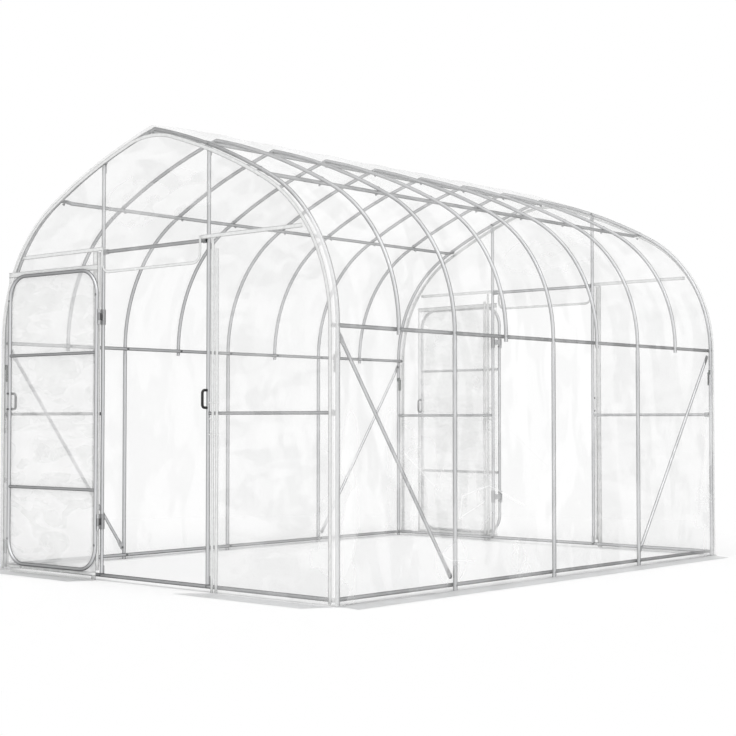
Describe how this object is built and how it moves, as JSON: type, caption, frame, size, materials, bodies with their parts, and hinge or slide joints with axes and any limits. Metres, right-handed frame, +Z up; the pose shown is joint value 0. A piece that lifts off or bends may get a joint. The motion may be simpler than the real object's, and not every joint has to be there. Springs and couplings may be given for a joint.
{
  "type": "walk-in tunnel greenhouse",
  "caption": "Walk-in tunnel greenhouse of steel tube hoops under a clear film cover, with a hinged tube-framed door in each gable.",
  "frame": {"origin": "on the ground at the centre of the floor plan, midway between the end hoops and the side walls", "axes": "+Z up, +Y from the front gable to the rear gable, +X towards the right-hand wall seen from the front"},
  "size_m": [2.7256, 3.584, 2.2396],
  "materials": {
    "galvanised_tube": "galvanised, satin grey",
    "clear_film": "clear polyethylene film, slightly hazy and creased",
    "hinge_steel": "zinc plated",
    "grey_plastic": "moulded dark grey",
    "black_plastic": "moulded black",
    "strap_webbing": "dark grey-green hook-and-loop webbing"
  },
  "bodies": {
    "tunnel": {"hoop_1": "galvanised_tube", "hoop_2": "galvanised_tube", "hoop_3": "galvanised_tube", "hoop_4": "galvanised_tube", "hoop_5": "galvanised_tube", "hoop_6": "galvanised_tube", "hoop_7": "galvanised_tube", "hoop_8": "galvanised_tube", "hoop_9": "galvanised_tube", "ridge_beam": "galvanised_tube", "left_roof_purlin": "galvanised_tube", "right_roof_purlin": "galvanised_tube", "left_side_rail": "galvanised_tube", "right_side_rail": "galvanised_tube", "left_base_rail": "galvanised_tube", "right_base_rail": "galvanised_tube", "front_base_rail": "galvanised_tube", "rear_base_rail": "galvanised_tube", "left_side_braces": "galvanised_tube", "right_side_braces": "galvanised_tube", "front_door_posts": "galvanised_tube", "rear_door_posts": "galvanised_tube", "front_header": "galvanised_tube", "rear_header": "galvanised_tube", "front_mid_rails": "galvanised_tube", "rear_mid_rails": "galvanised_tube", "left_wall_film": "clear_film", "right_wall_film": "clear_film", "left_roof_film": "clear_film", "right_roof_film": "clear_film", "front_side_panels": "clear_film", "rear_side_panels": "clear_film", "front_top_panel": "clear_film", "rear_top_panel": "clear_film", "ground_skirts": "clear_film", "front_hinge_brackets": "hinge_steel", "rear_hinge_brackets": "hinge_steel", "post_handles": "black_plastic", "corner_straps": "strap_webbing"},
    "front_door": {"front_door_frame": "galvanised_tube", "front_door_film": "clear_film", "front_door_handle": "grey_plastic"},
    "rear_door": {"rear_door_frame": "galvanised_tube", "rear_door_film": "clear_film", "rear_door_handle": "grey_plastic"}
  },
  "joints": [
    {"name": "front_door_hinge", "type": "hinge", "parent": "tunnel", "child": "front_door", "pos_m": [-0.363, -1.682, 0.8], "axis": [0, 0, 1], "range_deg": [0, 177.6]},
    {"name": "rear_door_hinge", "type": "hinge", "parent": "tunnel", "child": "rear_door", "pos_m": [-0.363, 1.682, 0.8], "axis": [0, 0, 1], "range_deg": [-177.6, 0]}
  ]
}
